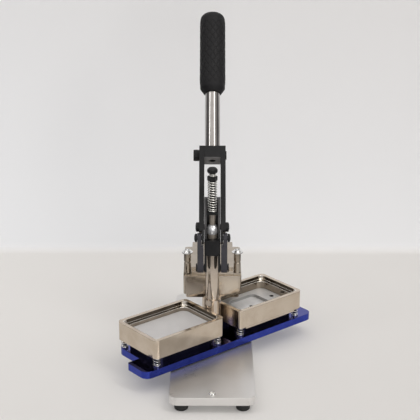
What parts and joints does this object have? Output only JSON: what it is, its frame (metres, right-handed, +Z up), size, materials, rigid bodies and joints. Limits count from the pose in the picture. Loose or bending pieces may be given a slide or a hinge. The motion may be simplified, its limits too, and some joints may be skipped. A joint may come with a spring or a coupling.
{
  "type": "fridge magnet press",
  "caption": "Hand lever press for rectangular fridge magnets: a swivelling blue plate carries sprung lower dies under an upper die on a column ram.",
  "frame": {"origin": "under the base plate's centre, in the plane of the feet's undersides", "axes": "+X to the right seen from the loading side, +Y from the loading side to the pressing side, +Z up"},
  "size_m": [0.243, 0.3403, 0.412],
  "materials": {
    "base_alloy": "bead-blasted, clear anodised",
    "polished_steel": "polished",
    "bearing_plastic": "natural",
    "blue_anodised": "blue anodised, satin",
    "pale_insert": "satin, pale grey",
    "core_alloy": "machined",
    "die_nickel": "nickel plated, bright",
    "spring_steel": "bright drawn wire",
    "black_steel": "black oxide, satin",
    "grip_rubber": "moulded, textured",
    "foot_rubber": "matte"
  },
  "bodies": {
    "base": {"base_plate": "base_alloy", "foot_front_left": "foot_rubber", "foot_front_right": "foot_rubber", "foot_back_left": "foot_rubber", "foot_back_right": "foot_rubber", "front_screw": "polished_steel", "stop_pin": "polished_steel", "column": "polished_steel", "column_bolt": "polished_steel", "thrust_washer": "bearing_plastic", "head_bracket": "black_steel", "spring_seat": "black_steel", "anchor_stud_left": "black_steel", "anchor_stud_right": "black_steel", "return_spring": "spring_steel"},
    "swivel": {"swivel_plate": "blue_anodised", "hub_sleeve": "polished_steel", "left_die_core": "die_nickel", "left_die_insert": "pale_insert", "left_die_pins": "die_nickel", "right_die_core": "core_alloy", "right_die_pins": "die_nickel", "left_spring_1": "spring_steel", "left_spring_2": "spring_steel", "left_spring_3": "spring_steel", "left_spring_4": "spring_steel", "right_spring_1": "spring_steel", "right_spring_2": "spring_steel", "right_spring_3": "spring_steel", "right_spring_4": "spring_steel"},
    "left_ring": {"left_die_ring": "die_nickel"},
    "right_ring": {"right_die_ring": "die_nickel"},
    "ram": {"ram_rod": "polished_steel", "die_arm": "polished_steel", "upper_die_block": "die_nickel", "upper_die_punch": "die_nickel", "upper_die_pad": "die_nickel", "guide_screw_left": "die_nickel", "guide_screw_right": "die_nickel", "guide_sleeve_left": "die_nickel", "guide_sleeve_right": "die_nickel", "spring_nut": "black_steel", "spring_cap": "black_steel"},
    "lever": {"yoke_plate_left": "black_steel", "yoke_plate_right": "black_steel", "yoke_block": "black_steel", "yoke_screw_left": "black_steel", "yoke_screw_right": "black_steel", "lever_pin": "black_steel", "link_bolt_left": "black_steel", "link_bolt_right": "black_steel", "handle_bar": "polished_steel", "grip": "grip_rubber"},
    "link_left": {"link_left": "black_steel"},
    "link_right": {"link_right": "black_steel"}
  },
  "joints": [
    {"name": "swivel", "type": "hinge", "parent": "base", "child": "swivel", "pos_m": [0, 0.01, 0.0309], "axis": [0, 0, 1], "range_deg": [-130, 50]},
    {"name": "ram_slide", "type": "slide", "parent": "base", "child": "ram", "axis": [0, 0, -1], "range_m": [0, 0.0098], "stiffness_N_per_m": 3000, "springref_m": -0.045, "deforming": ["return_spring"]},
    {"name": "lever_pull", "type": "hinge", "parent": "ram", "child": "lever", "pos_m": [0, 0.01, 0.1713], "axis": [-1, 0, 0], "range_deg": [0, 50]},
    {"name": "link_left_turn", "type": "hinge", "parent": "lever", "child": "link_left", "pos_m": [-0.0145, 0.00177, 0.15997], "axis": [-1, 0, 0], "range_deg": [-60.5, 0.5]},
    {"name": "link_right_turn", "type": "hinge", "parent": "lever", "child": "link_right", "pos_m": [0.0145, 0.00177, 0.15997], "axis": [-1, 0, 0], "range_deg": [-60.5, 0.5]},
    {"name": "left_ring_drop", "type": "slide", "parent": "swivel", "child": "left_ring", "axis": [0, 0, -1], "range_m": [0, 0.0076], "stiffness_N_per_m": 1500, "springref_m": -0.0067, "deforming": ["left_spring_1", "left_spring_2", "left_spring_3", "left_spring_4"]},
    {"name": "right_ring_drop", "type": "slide", "parent": "swivel", "child": "right_ring", "axis": [0, 0, -1], "range_m": [0, 0.0076], "stiffness_N_per_m": 1500, "springref_m": -0.0067, "deforming": ["right_spring_1", "right_spring_2", "right_spring_3", "right_spring_4"]}
  ],
  "couplings": [
    {"joint": "ram_slide", "follows": "lever_pull", "m_per_rad": 0.011219},
    {"joint": "link_left_turn", "follows": "lever_pull", "ratio": -1.2},
    {"joint": "link_right_turn", "follows": "lever_pull", "ratio": -1.2},
    {"joint": "left_ring_drop", "follows": "lever_pull", "m_per_rad": 0.008697},
    {"joint": "right_ring_drop", "follows": "lever_pull", "m_per_rad": 0.008697}
  ]
}
